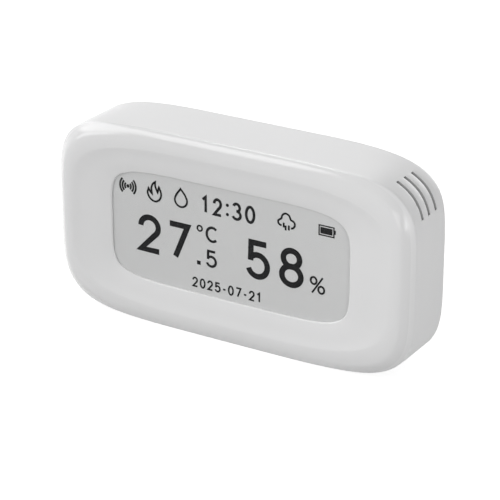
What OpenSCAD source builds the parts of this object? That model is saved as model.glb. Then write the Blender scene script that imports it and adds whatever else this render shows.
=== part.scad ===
// Free-standing temperature and humidity sensor with a framed reading window.
// Millimetres. X is the width, Y runs from the front to the back, Z is up.
// The part stands on its underside with the window facing -Y.

/* [Case] */
// Width of the front edge, where the lip meets the side wall
body_w = 98; // [92:0.5:108]
// Height of the front edge before the underside is flattened
body_h = 51.4; // [49:0.1:56]
// Depth from the front edge to the back
body_d = 18.7; // [17.4:0.1:20.6]
// Outward draft of the side wall from the front edge to the cover joint
draft = 0.8; // [0.4:0.1:1.2]
// Squareness of the outline (2 is an ellipse)
outline_n = 5; // [4.9:0.05:5.6]
// Width of the flat strip that the part stands on
stand_w = 40; // [30:1:46]
// Rounding of the back edge, which is also the cover plate's thickness
back_round = 2.2; // [2.1:0.1:2.6]
// Wall thickness of the shell
wall = 2; // [1.8:0.1:2.1]

/* [Front dish] */
// Rise of the lip's crest in front of the front edge
crest_rise = 1.3; // [1:0.1:1.6]
// Distance from the front edge in to the crest at the left and right
crest_in_x = 3.7; // [3.2:0.1:4.4]
// Distance from the front edge in to the crest at the top and bottom
crest_in_z = 4.6; // [4:0.1:5.2]
// Squareness of the crest line
crest_n = 4; // [3.6:0.1:4.6]
// Steepness of the lip where it leaves the front edge, in degrees
lip_angle = 55; // [40:1:70]
// Waviness of the dish between crest and window
dish_wave = 0.35; // [0:0.05:0.5]
// Width of the frame at the left and right of the window
frame_x = 15.3; // [15:0.1:17]
// Height of the frame above and below the window
frame_z = 11.3; // [11.2:0.1:12.4]
// Squareness of the window opening
window_n = 5.9; // [5:0.1:7]
// Thickness of the dish at the window's edge
window_edge = 0.35; // [0.3:0.05:0.5]

/* [Vents] */
// Number of vent slots around the upper right corner
vent_count = 3; // [1:1:3]
// Distance of the first slot behind the front edge
vent_first = 5.8; // [5.4:0.1:6.2]
// Spacing of the slots
vent_pitch = 3.5; // [3.4:0.1:3.9]
// Width of a slot
vent_w = 1; // [0.7:0.1:1.2]
// Lower end of the slots as an angle along the outline
vent_from = 15; // [13:1:22]
// Upper end of the slots as an angle along the outline
vent_to = 47; // [40:1:48]

/* [Display] */
// Thickness of the clear window
lens_t = 0.3; // [0.2:0.05:0.4]
// Gap between the clear window and the opening that it sits in
lens_gap = 0.15; // [0.1:0.05:0.3]
// Thickness of the adhesive frame between the dish and the display
tape_t = 0.1; // [0.05:0.05:0.2]
// How far the display glass reaches past the window at the left and right
panel_edge_x = 4; // [3.6:0.1:4.4]
// How far the display glass reaches past the window at the top and bottom
panel_edge_z = 2.8; // [2.5:0.1:2.9]
// Thickness of the display glass
glass_t = 0.5; // [0.4:0.1:0.7]
// Thickness of the reflective film on the glass
film_t = 0.6; // [0.4:0.1:0.7]
// Thickness of the plate that holds the display
carrier_t = 1.4; // [1.2:0.1:1.8]
// Distance from a carrier ear's screw to the edge of the glass
ear_out = 3.8; // [3.6:0.1:4]
// Width of the flat ribbon
ribbon_w = 16; // [12:1:18]

/* [Board] */
// Gap between the carrier and the board, which takes the ribbon's connector
board_gap = 3.2; // [3:0.1:3.5]
// Thickness of the board
board_t = 1.2; // [1:0.1:1.6]
// Room between the board and the case's posts above it
board_room = 8.6; // [8.5:0.1:9.2]
// Height of the push switch's body
switch_h = 3.1; // [2.8:0.1:3.3]
// Side of the push switch's body
switch_w = 6; // [5.6:0.1:6.2]
// Travel of the pairing button
press_travel = 0.6; // [0.3:0.1:0.7]
// Radius of the pairing button
press_r = 3; // [2.6:0.1:3.2]

/* [Battery bay] */
// Diameter of a cell
cell_d = 10.5; // [10:0.1:11.2]
// Length of a cell with its nub
cell_len = 44.5; // [42:0.1:47]
// Thickness of the battery door
door_t = 1.6; // [1.4:0.1:1.8]
// Thickness of the bay's walls
bay_wall = 1.2; // [1:0.1:1.4]
// Gap around each cell in the bay
bay_gap = 0.6; // [0.5:0.05:0.8]
// Length of a contact spring with its cell in place
spring_len = 5.05; // [4.4:0.05:5.6]
// Wire diameter of the contact springs
wire_d = 0.6; // [0.5:0.05:0.7]

/* [Wall hanging] */
// Radius of the keyhole's round entry
key_r = 4; // [3.6:0.1:4.2]
// Radius of the keyhole's slot
key_slot_r = 2; // [1.8:0.1:2.2]
// Rise from the round entry to the end of the slot
key_rise = 5.1; // [4.8:0.1:5.4]

/* [Fits] */
// Gap between pieces that are fixed together
slip = 0.15; // [0.1:0.05:0.2]
// Gap around pieces that move
free_gap = 0.3; // [0.25:0.05:0.35]
// Gap around the battery door
door_gap = 0.25; // [0.2:0.05:0.35]

/* [Hidden] */
$fn = 32;
pts = 96;
lip_steps = 7;
dish_steps = 11;
crest_soft = 0.06;
half_w = body_w / 2;
half_h = body_h / 2;
stand_z = -half_h * pow(1 - pow(stand_w / body_w, outline_n), 1 / outline_n);
window_w = body_w - 2 * frame_x;
window_h = body_h - 2 * frame_z;
touch = 0.05;

film_y = window_edge + tape_t;
lens_y = film_y - lens_t;
glass_y = film_y + film_t;
carrier_y = glass_y + glass_t;
carrier_back = carrier_y + carrier_t;
tape_in = 0.3;
panel_w = window_w + 2 * panel_edge_x;
panel_h = window_h + 2 * panel_edge_z;
panel_r = 0.5;
ledge_x = 1.7;
ledge_z = 0.8;
rim_t = 1.1;
rim_in = panel_w / 2 + slip;
plate_h = panel_h / 2 + slip;
ear_x = panel_w / 2 + ear_out;
ear_z = panel_h / 3;
ear_r = 2;
ear_half = 2.6;

bay_floor_t = 1;
cell_back = 0.25;
door_in = body_d - door_t;
cell_y = door_in - cell_back - cell_d / 2;
bay_floor = cell_y - cell_d / 2 - touch;
mid_y = (body_d - crest_rise) / 2;
joint_y = body_d - back_round;
back_w = half_w + draft;
back_h = half_h + draft;

plate_t = 0.4;
dimple = 0.5;
nub = 0.8;
bay_x = (cell_len + 2 * plate_t + dimple + spring_len + 3 * touch) / 2;
bay_h = 2 * cell_d + 3 * bay_gap;
bay_foot = 1.4;
bay_lo = stand_z + wall + bay_wall + bay_foot;
bay_hi = bay_lo + bay_h;
low_z = bay_lo + bay_gap + cell_d / 2;
high_z = bay_hi - bay_gap - cell_d / 2;
tip_x = bay_x - plate_t - dimple - touch;
contact_y = 0.41 * cell_d;
contact_z = 0.43 * cell_d;
tail_out = 2.4;
tail_w = 2;
lead_r = 0.5;
lead_x = bay_x + bay_wall + tail_out - lead_r - 0.3;
lead_bend = 1.5;
lead_step = 2.5;
lead_in = 1;
lead_apart = 2;
door_x = bay_x + bay_wall + 1.05;
door_lo = bay_lo - 0.75;
door_hi = bay_hi + 0.85;
door_axis_y = body_d - door_t / 2;
door_axis_z = door_hi - door_t / 2;
hook_x = 0.63 * bay_x;
hook_w = 8;
hook_in = 1.8;
hook_t = 0.8;
hook_root = 0.6;
hook_up = 1.7;
notch_in = 3.6;
notch_up = 3;
grip_w = 14;
grip_pitch = 1.6;

boss_r = 2.5;
post_gap = 1.1;
case_head = 2.2;
case_x = max(half_w - 17, door_x + door_gap + case_head + free_gap + 1);
case_z = max(half_h - wall - boss_r - post_gap, plate_h + boss_r + slip);
case_shank = 1.1;
case_len = 10;
case_head_h = 1.1;
case_sink = 1.3;
ear_shank = 0.7;
ear_bite = 1.2;
ear_head = 1.7;
small_head_h = 1;

board_y = carrier_back + board_gap;
board_back = board_y + board_t;
board_lo = bay_hi + bay_wall + 1;
board_hi = half_h - board_room;
board_h = board_hi - board_lo;
board_mid = (board_lo + board_hi) / 2;
board_l = -case_x - 6;
board_r = case_x + 4;
tongue_x = max(half_w - 7, case_x + 8.2);
lead_y = max(cell_y, board_back + lead_bend + 0.4);
tongue_z = board_hi - 0.27 * board_h;
tongue_half = 0.19 * board_h;
board_shank = 0.8;
board_bite = 3.5;
board_head = 1.8;
post_r = 2.2;
board_holes = [[-case_x - 2.5, board_lo + 0.27 * board_h], [0.45 * case_x, board_hi - 0.22 * board_h],
  [case_x + 1, board_lo + 0.23 * board_h]];
radio_l = board_l + 8;
radio_w = 18;
radio_t = 0.8;
radio_lo = board_lo + 0.08 * board_h;
radio_hi = board_hi - 0.07 * board_h;
shield_h = 2;
shield_t = 0.2;
shield_in = 0.6;
aerial = 5;
chip_s = 0.53 * board_h;
chip_t = 0.9;
sensor_s = 2.5;
sensor_x = tongue_x - 2.15;
part_l = 1.6;
part_w = 0.8;
part_t = 0.7;
part_pitch = 1.55;
part_gap = 1.2;
part_edge = 0.7;
press_z = board_mid - 0.04 * board_h;
press_lip = 1.2;
press_flange = 1.2;
press_stem = 1.5;
press_sunk = 0.3;
plunger_r = 1.7;
plunger_top = board_back + switch_h + press_travel + 0.2;
collar_t = 1.1;
collar_r = press_r + press_lip + free_gap + collar_t;
press_x = lead_x - lead_r - collar_r - 0.2;
skirt_h = 2.2;
skirt_t = 1.2;
skirt_in = wall + slip + draft * skirt_h / joint_y;
key_z = board_lo + 0.42 * board_h;
key_side = key_r + 1;
key_lo = key_z - key_r - 0.5;
key_hi = key_z + key_rise + key_slot_r + 0.8;
key_deep = 3.2;
rib_x = case_x + 3.2;
rib_t = 1;

ribbon_t = 0.15;
plug_y = 1.2;
bend_out = (board_gap - plug_y + carrier_t + glass_t + ribbon_t) / 2;
bend_y = glass_y - ribbon_t + bend_out;
bend_z = panel_h / 2 + 1;
ribbon_back = bend_y + bend_out;
plug_hi = board_hi - 0.31 * board_h;
plug_lo = board_lo + 0.38 * board_h;
plug_in = (plug_hi + plug_lo) / 2;
plug_side = 1.5;
plug_front = 0.65;

// One closed outline of the case at depth y, cut flat at its underside
function ring(a, b, n, y, low) = [for (i = [0:pts - 1])
  let (t = (i + 0.5) * 360 / pts, c = cos(t), s = sin(t))
  [a * sign(c) * pow(abs(c), 2 / n), y, max(low, b * sign(s) * pow(abs(s), 2 / n))]];

// The same outline as a flat drawing in X and Z
function flat(a, b, n, low) = [for (p = ring(a, b, n, 0, low)) [p[0], p[2]]];

// Corner stretch of an outline between two angles
function stretch(a, b, n, t0, t1, k) = [for (i = [0:k])
  let (t = t0 + (t1 - t0) * i / k)
  [a * pow(cos(t), 2 / n), b * pow(sin(t), 2 / n)]];

// Rectangle with rounded corners
function soft_rect(w, h, r) = [for (q = [0:3], i = [0:6])
  let (t = 90 * q + 15 * i, sx = q == 0 || q == 3 ? 1 : -1, sz = q < 2 ? 1 : -1)
  [sx * (w / 2 - r) + r * cos(t), sz * (h / 2 - r) + r * sin(t)]];

// Depth of the dish from crest (v = 0) to window (v = 1)
function dish_raw(v) = v + dish_wave * sin(360 * v) / (2 * PI)
  - (1 + dish_wave) * crest_soft * (1 - exp(-v / crest_soft));
function dish_y(v) = crest_rise * (dish_raw(v) / dish_raw(1) - 1);
function mix(p, q, v) = p + (q - p) * v;

// Skin through a list of closed outlines; a ring of skins closes on itself
module skin(rings, closed) {
  k = len(rings);
  all = [for (r = rings) each r];
  last = closed ? k - 1 : k - 2;
  sides = [for (j = [0:last], i = [0:pts - 1])
    let (e = (i + 1) % pts, m = (j + 1) % k, A = j * pts + i, B = j * pts + e, C = m * pts + e, D = m * pts + i)
    each [[A, D, C], [A, C, B]]];
  caps = closed ? [] : [[for (i = [0:pts - 1]) i], [for (i = [pts - 1:-1:0]) (k - 1) * pts + i]];
  polyhedron(all, concat(sides, caps));
}

// Puts a drawing in X and Z at depth y, going back by t
module slab(y, t) {
  translate([0, y + t, 0]) rotate([90, 0, 0]) linear_extrude(t) children();
}

// Round bar from depth y going back by t
module peg(x, z, r, y, t) {
  translate([x, y + t, z]) rotate([90, 0, 0]) cylinder(r = r, h = t);
}

// Block between two corners
module block(x0, x1, y0, y1, z0, z1) {
  translate([x0, y0, z0]) cube([x1 - x0, y1 - y0, z1 - z0]);
}

// Moves the drawing depth zero to the middle of the part, standing on Z = 0
module seat() {
  translate([0, -mid_y, -stand_z]) children();
}

// Outlines of the lip and dish, from the front edge to the window
function front_rings() = concat(
  [for (i = [0:lip_steps])
    let (f = lip_angle * (1 - i / lip_steps), v = (sin(lip_angle) - sin(f)) / sin(lip_angle))
    ring(half_w - crest_in_x * v, half_h - crest_in_z * v, mix(outline_n, crest_n, v),
      -crest_rise * (cos(f) - cos(lip_angle)) / (1 - cos(lip_angle)), stand_z)],
  [for (i = [1:dish_steps])
    let (v = pow(i / dish_steps, 1.5))
    ring(mix(half_w - crest_in_x, window_w / 2, v), mix(half_h - crest_in_z, window_h / 2, v),
      mix(crest_n, window_n, v), dish_y(v), stand_z)]);

// Front shell: lip, dish, window edge and drafted side wall in one moulding
module front_shell() {
  color("white") seat() difference() {
    union() {
      skin(concat(
        [ring(back_w, back_h, outline_n, joint_y, stand_z)],
        front_rings(),
        [ring(window_w / 2, window_h / 2, window_n, window_edge, stand_z),
          ring(half_w - wall, half_h - wall, outline_n, window_edge, stand_z + wall),
          ring(back_w - wall, back_h - wall, outline_n, joint_y, stand_z + wall)]), true);
      for (x = [-case_x, case_x], z = [-case_z, case_z]) {
        peg(x, z, boss_r, window_edge - 0.3, joint_y - window_edge + 0.3);
      }
      for (x = [-ear_x, ear_x], z = [-ear_z, ear_z]) {
        peg(x, z, ear_r, window_edge - 0.3, carrier_y - window_edge + 0.3);
      }
    }
    for (x = [-case_x, case_x], z = [-case_z, case_z]) {
      peg(x, z, case_shank + touch, joint_y - case_len, case_len + 1);
    }
    for (x = [-ear_x, ear_x], z = [-ear_z, ear_z]) {
      peg(x, z, ear_shank + touch, carrier_y - ear_bite - 0.4, ear_bite + 1);
    }
    for (i = [0:vent_count - 1]) {
      slab(vent_first + vent_pitch * i - vent_w / 2, vent_w) polygon(concat(
        stretch(half_w + 4, half_h + 4, outline_n, vent_from, vent_to, 16),
        [[half_w - 6 * wall, half_h - 5 * wall]]));
    }
  }
}

// Clear window in the opening, laminated to the film
module window_lens() {
  color("lightcyan", 0.4) seat() slab(lens_y, lens_t)
    polygon(flat(window_w / 2 - lens_gap, window_h / 2 - lens_gap, window_n, stand_z));
}

// Adhesive frame between the dish and the film
module lens_tape() {
  color("lightgray") seat() slab(window_edge, tape_t) difference() {
    polygon(soft_rect(panel_w - 2 * ledge_x, panel_h - 2 * ledge_z, panel_r));
    polygon(flat(window_w / 2 + tape_in, window_h / 2 + tape_in, window_n, stand_z));
  }
}

// Foam frame around the film, between the dish and the glass, open where the ribbon leaves
module panel_gasket() {
  color("black") seat() slab(window_edge, glass_y - window_edge) difference() {
    polygon(soft_rect(panel_w, panel_h, panel_r));
    polygon(soft_rect(panel_w - 2 * ledge_x + 2 * slip, panel_h - 2 * ledge_z + 2 * slip, panel_r));
    translate([-ribbon_w / 2 - slip, 0]) square([ribbon_w + 2 * slip, panel_h]);
  }
}

// Reflective film that carries the reading
module display_film() {
  color("lightgray") seat() slab(film_y, film_t)
    polygon(soft_rect(panel_w - 2 * ledge_x, panel_h - 2 * ledge_z, panel_r));
}

// Glass behind the film, with a ledge for the ribbon along its top
module display_glass() {
  color("slategray") seat() slab(glass_y, glass_t) polygon(soft_rect(panel_w, panel_h, panel_r));
}

// Plate with ears that clamps the display to the shell, cut away over the battery bay
module display_carrier() {
  color("gainsboro") seat() difference() {
    union() {
      block(-rim_in - rim_t, rim_in + rim_t, carrier_y, carrier_back, -plate_h, plate_h);
      for (s = [-1, 1]) {
        mirror([s < 0 ? 1 : 0, 0, 0]) {
          block(rim_in, rim_in + rim_t, film_y, carrier_y + 0.1, -plate_h, plate_h);
          for (z = [-ear_z, ear_z]) {
            block(rim_in, ear_x + ear_r + 0.4, carrier_y, carrier_back, z - ear_half, z + ear_half);
          }
        }
      }
    }
    for (x = [-ear_x, ear_x], z = [-ear_z, ear_z]) {
      peg(x, z, ear_shank + free_gap, carrier_y - 1, carrier_t + 2);
    }
    block(-bay_x - bay_wall - free_gap, bay_x + bay_wall + free_gap, carrier_y - 1, carrier_back + 1,
      -plate_h - 1, bay_hi + bay_wall + free_gap);
  }
}

// Pan head screw: head from depth y towards s, shank the other way
module screw(x, z, y, s, head_r, head_h, shank_r, shank_len) {
  translate([x, y, z]) rotate([s > 0 ? -90 : 90, 0, 0]) difference() {
    rotate_extrude() polygon([[0, -shank_len], [shank_r * 0.4, -shank_len], [shank_r, -shank_len + shank_r],
      [shank_r, 0], [head_r, 0], [head_r, head_h * 0.6], [head_r * 0.7, head_h], [0, head_h]]);
    for (a = [0, 90]) {
      rotate([0, 0, a]) translate([-head_r * 0.5, -head_r * 0.11, head_h * 0.45])
        cube([head_r, head_r * 0.22, head_h]);
    }
  }
}

// Four screws through the carrier's ears
module carrier_screws() {
  color("silver") seat() for (x = [-ear_x, ear_x], z = [-ear_z, ear_z]) {
    screw(x, z, carrier_back, 1, ear_head, small_head_h, ear_shank, carrier_t + ear_bite);
  }
}

// Flat ribbon from the glass ledge, folded over the carrier to the board
module display_ribbon() {
  color("orange") seat() translate([-ribbon_w / 2, 0, 0]) rotate([90, 0, 90]) linear_extrude(ribbon_w) union() {
    translate([bend_y - bend_out, panel_h / 2 - ledge_z]) square([ribbon_t, bend_z - panel_h / 2 + ledge_z]);
    translate([ribbon_back - ribbon_t, plug_in]) square([ribbon_t, bend_z - plug_in]);
    translate([bend_y, bend_z]) difference() {
      circle(r = bend_out);
      circle(r = bend_out - ribbon_t);
      translate([-2 * bend_out, -3 * bend_out]) square([4 * bend_out, 3 * bend_out]);
    }
  }
}

// Connector on the board's front that takes the ribbon
module ribbon_connector() {
  color("ivory") seat() difference() {
    block(-ribbon_w / 2 - plug_side, ribbon_w / 2 + plug_side, board_y - plug_y - plug_front, board_y, plug_lo, plug_hi);
    block(-ribbon_w / 2 - slip, ribbon_w / 2 + slip, ribbon_back - ribbon_t - touch, ribbon_back + touch,
      plug_in, plug_hi + 1);
  }
}

// Circuit board beside the battery bay, with a necked tongue for the sensor
module main_board() {
  color("seagreen") seat() difference() {
    slab(board_y, board_t) difference() {
      polygon([[board_l, board_lo], [board_r, board_lo], [board_r, tongue_z - tongue_half - 1],
        [board_r + 1.5, tongue_z - tongue_half], [tongue_x, tongue_z - tongue_half],
        [tongue_x, tongue_z + tongue_half], [board_r, tongue_z + tongue_half], [board_r - 1, board_hi],
        [board_l + 1, board_hi], [board_l, board_hi - 1]]);
      translate([board_r + 0.2, tongue_z - 0.6 * tongue_half]) square([1, 1.2 * tongue_half]);
    }
    for (p = board_holes) {
      peg(p[0], p[1], board_shank + free_gap, board_y - 1, board_t + 2);
    }
  }
}

// Three screws that hold the board to the cover's posts
module board_screws() {
  color("silver") seat() for (p = board_holes) {
    screw(p[0], p[1], board_y, -1, board_head, small_head_h, board_shank, board_t + board_bite);
  }
}

// Small radio board with its printed aerial end
module radio_module() {
  color("darkgreen") seat()
    block(radio_l, radio_l + radio_w, board_back, board_back + radio_t, radio_lo, radio_hi);
}

// Folded metal cap over the radio's parts
module radio_shield() {
  x0 = radio_l + aerial;
  x1 = radio_l + radio_w - shield_in;
  y0 = board_back + radio_t;
  z0 = radio_lo + shield_in;
  z1 = radio_hi - shield_in;
  color("silver") seat() difference() {
    block(x0, x1, y0, y0 + shield_h, z0, z1);
    block(x0 + shield_t, x1 - shield_t, y0 - 0.1, y0 + shield_h - shield_t, z0 + shield_t, z1 - shield_t);
  }
}

// Processor in a square package
module controller_chip() {
  color("black") seat() difference() {
    block(-chip_s / 2, chip_s / 2, board_back, board_back + chip_t,
      board_mid - chip_s / 2, board_mid + chip_s / 2);
    peg(-0.36 * chip_s, board_mid + 0.36 * chip_s, 0.06 * chip_s, board_back + chip_t - 0.1, 1);
  }
}

// Temperature and humidity sensor with its open port, on the tongue behind the vents
module sensor_chip() {
  h = sensor_s / 2;
  color("black") seat() difference() {
    block(sensor_x - h, sensor_x + h, board_back, board_back + chip_t, tongue_z - h, tongue_z + h);
    peg(sensor_x, tongue_z, 0.2 * sensor_s, board_back + 0.45 * chip_t, 1);
  }
}

// One small block soldered to the board's back
module soldered(x, z, w, l, t) {
  block(x, x + w, board_back, board_back + t, z, z + l);
}

// Capacitors and resistors around the processor
module board_passives() {
  left = radio_l + radio_w + part_gap;
  color("tan") seat() {
    for (i = [0:3]) {
      soldered(left + i * part_pitch, board_hi - part_l - part_edge, part_w, part_l, part_t);
      soldered(chip_s / 2 + part_gap + i * part_pitch, board_lo + part_edge, part_w, part_l, part_t);
    }
    for (i = [0:1]) {
      soldered(left + 0.6, board_lo + 0.27 * board_h + i * part_l * part_pitch, 2 * part_l, part_l, 2 * part_t);
    }
  }
}

// Body of the push switch under the pairing button
module tact_switch() {
  h = switch_w / 2;
  color("dimgray") seat() difference() {
    block(press_x - h, press_x + h, board_back, board_back + switch_h, press_z - h, press_z + h);
    peg(press_x, press_z, plunger_r + free_gap, board_back + 1, switch_h);
  }
}

// Plunger of the push switch
module switch_plunger() {
  color("black") seat() peg(press_x, press_z, plunger_r, board_back + 2, plunger_top - board_back - 2);
}

// Round button in the back, with a flange that keeps it in the cover
module pairing_button() {
  in_y = joint_y - 0.1;
  out_y = body_d - press_sunk;
  color("whitesmoke") seat() translate([press_x, 0, press_z]) rotate([-90, 0, 0]) rotate_extrude() polygon([
    [0, plunger_top], [press_stem, plunger_top], [press_stem, in_y - press_flange],
    [press_r + press_lip, in_y - press_flange], [press_r + press_lip, in_y], [press_r, in_y],
    [press_r, out_y - 0.3], [press_r - 0.3, out_y], [0, out_y]]);
}

// Back cover: plate with rounded edge, locating rim, battery bay, posts and hanging pocket
module back_cover() {
  color("white") seat() difference() {
    union() {
      skin([for (i = [5:-1:0])
        let (t = 18 * i, d = back_round * (1 - cos(t)))
        ring(back_w - d, back_h - d, outline_n, body_d - back_round * (1 - sin(t)), stand_z + d)], false);
      difference() {
        slab(joint_y - skirt_h, skirt_h + 0.3) difference() {
          polygon(flat(back_w - skirt_in, back_h - skirt_in, outline_n, stand_z + skirt_in));
          polygon(flat(back_w - skirt_in - skirt_t, back_h - skirt_in - skirt_t, outline_n,
            stand_z + skirt_in + skirt_t));
        }
        for (x = [-case_x, case_x], z = [-case_z, case_z]) {
          peg(x, z, boss_r + free_gap, joint_y - skirt_h - 1, skirt_h + 1);
        }
      }
      block(-bay_x - bay_wall, bay_x + bay_wall, bay_floor - bay_floor_t, joint_y + 0.3,
        bay_lo - bay_wall, bay_hi + bay_wall);
      block(-key_side - bay_wall, key_side + bay_wall, joint_y - key_deep - 1, joint_y + 0.3,
        key_lo - 1, key_hi + bay_wall);
      for (p = board_holes) {
        peg(p[0], p[1], post_r, board_back, joint_y - board_back + 0.3);
      }
      peg(press_x, press_z, collar_r, joint_y - 2 * press_flange, 2 * press_flange + 0.3);
      block(rib_x, rib_x + rib_t, board_back + 0.2, joint_y + 0.3, tongue_z - tongue_half, half_h - 2 * wall);
    }
    block(-bay_x, bay_x, bay_floor, body_d, bay_lo, bay_hi);
    block(-door_x - door_gap, door_x + door_gap, door_in, body_d + 1, door_lo - door_gap, door_hi + door_gap);
    for (s = [-1, 1]) {
      notch_x = hook_w / 2 + free_gap;
      block(s * hook_x - notch_x, s * hook_x + notch_x, door_in - notch_in, door_in + 0.1,
        bay_hi - 2 * hook_root, door_hi + door_gap);
      block(s * hook_x - notch_x, s * hook_x + notch_x, door_in - notch_in, joint_y,
        bay_hi - 2 * hook_root, bay_hi + notch_up);
    }
    tail_slot(high_z, lead_y);
    tail_slot(low_z, lead_y + lead_step);
    block(-key_side, key_side, joint_y - key_deep, joint_y, key_lo, key_hi);
    peg(0, key_z, key_r, joint_y - 1, back_round + 2);
    peg(0, key_z + key_rise, key_slot_r, joint_y - 1, back_round + 2);
    block(-key_slot_r, key_slot_r, joint_y - 1, body_d + 1, key_z, key_z + key_rise);
    peg(press_x, press_z, press_r + free_gap, joint_y - 4, back_round + 5);
    peg(press_x, press_z, press_r + press_lip + free_gap, joint_y - 4, 4);
    for (p = board_holes) {
      peg(p[0], p[1], board_shank + touch, board_back - 1, board_bite + 1.5);
    }
    for (x = [-case_x, case_x], z = [-case_z, case_z]) {
      peg(x, z, case_shank + free_gap, joint_y - 1, back_round + 2);
      peg(x, z, case_head + free_gap, body_d - case_sink, 2);
    }
  }
}

// Slot in the bay's right wall for a contact's tail
module tail_slot(z, y) {
  block(bay_x - 0.1, bay_x + bay_wall + 0.1, y - tail_w / 2 - slip, y + tail_w / 2 + slip,
    z - plate_t / 2 - slip, z + plate_t / 2 + slip);
}

// Four screws from the back into the shell's posts
module case_screws() {
  color("silver") seat() for (x = [-case_x, case_x], z = [-case_z, case_z]) {
    screw(x, z, body_d - case_sink, 1, case_head, case_head_h, case_shank, case_len);
  }
}

// Battery door: flush plate with a rounded top edge, two hooks, grip grooves and a finger notch
module battery_door() {
  color("white") seat() difference() {
    union() {
      block(-door_x, door_x, door_in, body_d, door_lo, door_axis_z);
      translate([-door_x, door_axis_y, door_axis_z]) rotate([0, 90, 0])
        cylinder(r = door_t / 2, h = 2 * door_x);
      for (s = [-1, 1]) {
        x0 = s * hook_x - hook_w / 2;
        block(x0, x0 + hook_w, door_in - hook_in, door_axis_y, bay_hi - hook_root, bay_hi + hook_root);
        block(x0, x0 + hook_w, door_in - hook_in, door_in - hook_in + hook_t,
          bay_hi - hook_root, bay_hi + hook_up);
      }
    }
    for (i = [0:3]) {
      z = door_lo + 3 + grip_pitch * i;
      block(-grip_w / 2, grip_w / 2, body_d - 0.25 * door_t, body_d + 1, z, z + 0.45 * grip_pitch);
    }
    translate([0, body_d + 2.6 * door_t, door_lo]) rotate([0, 90, 0])
      cylinder(r = 3.1 * door_t, h = 0.85 * grip_w, center = true);
  }
}

// One cell lying along X with its nub at the right
module cell() {
  r = cell_d / 2;
  translate([tip_x, cell_y, 0]) rotate([0, -90, 0]) rotate_extrude($fn = 48) polygon([
    [0, 0], [1.7, 0], [1.9, 0.2], [1.9, nub], [r - 0.9, nub], [r - 0.4, nub + 0.15], [r, nub + 0.6],
    [r, cell_len - 0.5], [r - 0.4, cell_len - 0.05],
    [r - 0.9, cell_len], [0, cell_len]]);
}

// Upper cell, positive end to the right
module cell_upper() {
  color("darkslategray") seat() translate([0, 0, high_z]) cell();
}

// Lower cell, positive end to the left
module cell_lower() {
  color("darkslategray") seat() translate([0, 0, low_z]) mirror([1, 0, 0]) cell();
}

// Contact plate at the right end with a solder tail through the bay's wall
module tailed_plate(z, y) {
  block(bay_x - plate_t, bay_x, cell_y - contact_y, cell_y + contact_y, z - contact_z, z + contact_z);
  block(bay_x - plate_t, bay_x + bay_wall + tail_out, y - tail_w / 2, y + tail_w / 2,
    z - plate_t / 2, z + plate_t / 2);
}

// Pressed bump that meets a cell's nub
module bump(z) {
  translate([bay_x - plate_t - dimple, cell_y, z]) rotate([0, 90, 0])
    cylinder(r1 = 1.6, r2 = 2.2, h = dimple + 0.1);
}

// Positive contact at the right end
module contact_positive() {
  color("silver") seat() union() {
    tailed_plate(high_z, lead_y);
    bump(high_z);
  }
}

// Negative contact at the right end
module contact_negative() {
  color("silver") seat() union() tailed_plate(low_z, lead_y + lead_step);
}

// Plate at the left end that joins the two cells
module contact_bridge() {
  color("silver") seat() union() {
    block(-bay_x, -bay_x + plate_t, cell_y - contact_y, cell_y + contact_y,
      low_z - contact_z, high_z + contact_z);
    mirror([1, 0, 0]) bump(low_z);
  }
}

// Conical spring along X from a plate at the left, as one bent wire
module coil() {
  turns = 5;
  per = 14;
  k = turns * per;
  w = wire_d / 2;
  len_x = spring_len - wire_d;
  all = [for (i = [0:k], j = [0:5])
    let (v = i / k, a = 360 * turns * v, r = mix(0.32, 0.17, v) * cell_d + w * cos(60 * j))
    [w + len_x * v + w * sin(60 * j), r * cos(a), r * sin(a)]];
  sides = [for (i = [0:k - 1], j = [0:5])
    let (e = (j + 1) % 6, A = i * 6 + j, B = i * 6 + e, C = A + 6, D = B + 6)
    each [[A, B, D], [A, D, C]]];
  polyhedron(all, concat(sides, [[5, 4, 3, 2, 1, 0], [for (j = [0:5]) k * 6 + j]]));
}

// Two springs that press on the cells' flat ends
module contact_springs() {
  color("silver") seat() {
    translate([-bay_x + plate_t + touch, cell_y, high_z]) coil();
    mirror([1, 0, 0]) translate([-bay_x + plate_t + touch, cell_y, low_z]) coil();
  }
}

// Insulated lead from a contact's tail up to the board, bent in to end at height top
module lead(y, z, top) {
  up = top - z - lead_bend;
  translate([lead_x, y, z]) cylinder(r = lead_r, h = up + 0.1);
  translate([lead_x, y - lead_bend, z + up]) rotate([90, 0, 90]) rotate_extrude(angle = 90)
    translate([lead_bend, 0]) circle(r = lead_r + 0.03);
  peg(lead_x, top, lead_r, board_back, y - lead_bend - board_back + 0.1);
}

// Lead of the positive contact
module lead_positive() {
  color("firebrick") seat() union() lead(lead_y, high_z + plate_t / 2, board_lo + lead_in);
}

// Lead of the negative contact
module lead_negative() {
  color("black") seat() union() lead(lead_y + lead_step, low_z + plate_t / 2, board_lo + lead_in + lead_apart);
}

front_shell();
window_lens();
lens_tape();
panel_gasket();
display_film();
display_glass();
display_carrier();
carrier_screws();
display_ribbon();
ribbon_connector();
main_board();
board_screws();
radio_module();
radio_shield();
controller_chip();
sensor_chip();
board_passives();
tact_switch();
switch_plunger();
pairing_button();
back_cover();
case_screws();
battery_door();
cell_upper();
cell_lower();
contact_positive();
contact_negative();
contact_bridge();
contact_springs();
lead_positive();
lead_negative();
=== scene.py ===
# Free-standing temperature and humidity sensor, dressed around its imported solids.
import itertools
import math
import bmesh
import bpy
from mathutils import Matrix, Vector


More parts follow.
